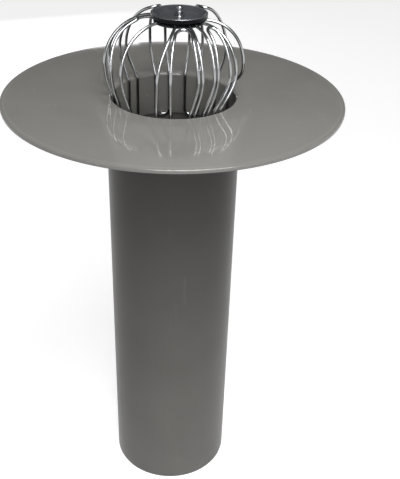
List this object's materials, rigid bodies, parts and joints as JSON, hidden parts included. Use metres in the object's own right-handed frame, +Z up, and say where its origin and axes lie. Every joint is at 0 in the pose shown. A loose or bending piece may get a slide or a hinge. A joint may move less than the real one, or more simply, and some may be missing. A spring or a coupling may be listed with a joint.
{
  "type": "flat roof drain",
  "caption": "Flat roof drain outlet: a plastic pipe under a wide flat flange, with a domed wire leaf guard standing in the mouth and a dished cap on top.",
  "frame": {"origin": "centre of the pipe's bottom end, on the axis of the pipe", "axes": "+Z up the pipe towards the roof, -Y towards the front, +X to the right seen from the front"},
  "size_m": [0.275, 0.275, 0.459],
  "materials": {
    "pipe_pvc": "satin dark grey",
    "flange_pvc": "glossy mid grey",
    "galvanised_wire": "bright drawn and galvanised",
    "cap_steel": "dark coated, half gloss",
    "rivet_aluminium": "bright"
  },
  "bodies": {
    "root": {"outlet_pipe": "pipe_pvc", "roof_flange": "flange_pvc", "guard_wire_1": "galvanised_wire", "guard_wire_2": "galvanised_wire", "guard_wire_3": "galvanised_wire", "guard_wire_4": "galvanised_wire", "guard_wire_5": "galvanised_wire", "guard_cap": "cap_steel", "clamp_washer": "cap_steel", "cap_rivet": "rivet_aluminium"}
  },
  "joints": []
}
